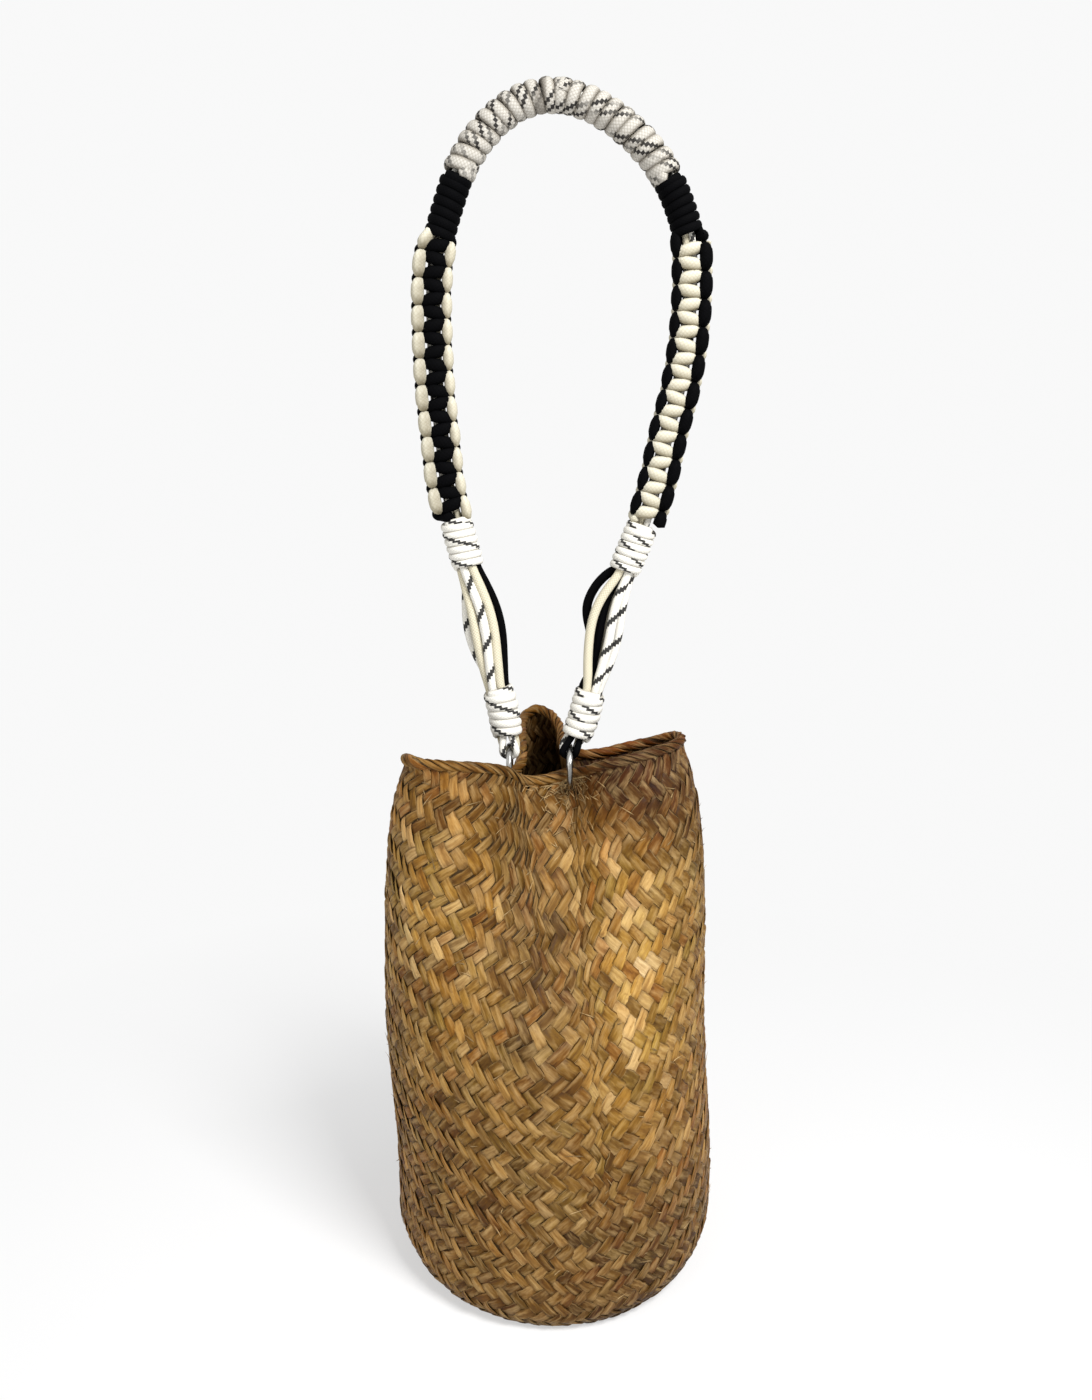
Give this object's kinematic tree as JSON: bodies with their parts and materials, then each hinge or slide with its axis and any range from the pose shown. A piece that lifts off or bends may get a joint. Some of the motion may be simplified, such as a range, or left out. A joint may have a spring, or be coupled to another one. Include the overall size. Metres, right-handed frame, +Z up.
{
  "type": "straw bucket bag",
  "caption": "Tall round bag of plaited straw with a pinched mouth and a knotted cord strap that hangs on two steel rings.",
  "frame": {"origin": "centre of the flat base's underside", "axes": "+Z up, +X to the right as pictured, +Y to the back"},
  "size_m": [0.1488, 0.1449, 0.5056],
  "materials": {
    "straw": "dry plaited straw, olive, tan and rust strips",
    "straw_rim": "dry plaited straw border",
    "flecked_cord": "braided white cord with black flecks",
    "cream_cord": "braided cream cord",
    "black_cord": "braided black cord",
    "steel": "polished steel wire"
  },
  "bodies": {
    "basket": {"woven_body": "straw", "plaited_rim": "straw_rim"},
    "strap": {"top_wrap": "flecked_cord", "left_black_wrap": "black_cord", "right_black_wrap": "black_cord", "left_upper_whipping": "flecked_cord", "right_upper_whipping": "flecked_cord", "left_lower_whipping": "flecked_cord", "right_lower_whipping": "flecked_cord", "left_braid_black": "black_cord", "left_braid_cream": "cream_cord", "right_braid_cream": "cream_cord", "right_braid_black": "black_cord", "core_cord_flecked_1": "flecked_cord", "core_cord_flecked_2": "flecked_cord", "core_cord_cream": "cream_cord", "core_cord_black": "black_cord", "left_strand_cream": "cream_cord", "left_strand_black": "black_cord", "right_strand_cream": "cream_cord", "right_strand_black": "black_cord", "left_bight_flecked": "flecked_cord", "left_bight_cream": "cream_cord", "left_bight_black": "black_cord", "right_bight_flecked": "flecked_cord", "right_bight_cream": "cream_cord", "right_bight_black": "black_cord"},
    "left_ring": {"left_ring": "steel"},
    "right_ring": {"right_ring": "steel"}
  },
  "joints": [
    {"name": "strap_swing", "type": "hinge", "parent": "basket", "child": "strap", "pos_m": [-0.00665, -0.0065, 0.2295], "axis": [1, 0, 0], "range_deg": [-40, 40]},
    {"name": "left_ring_turn", "type": "hinge", "parent": "basket", "child": "left_ring", "pos_m": [-0.0195, -0.0065, 0.2295], "axis": [1, 0, 0], "continuous": true},
    {"name": "right_ring_turn", "type": "hinge", "parent": "basket", "child": "right_ring", "pos_m": [0.0062, -0.0065, 0.2295], "axis": [1, 0, 0], "continuous": true}
  ]
}
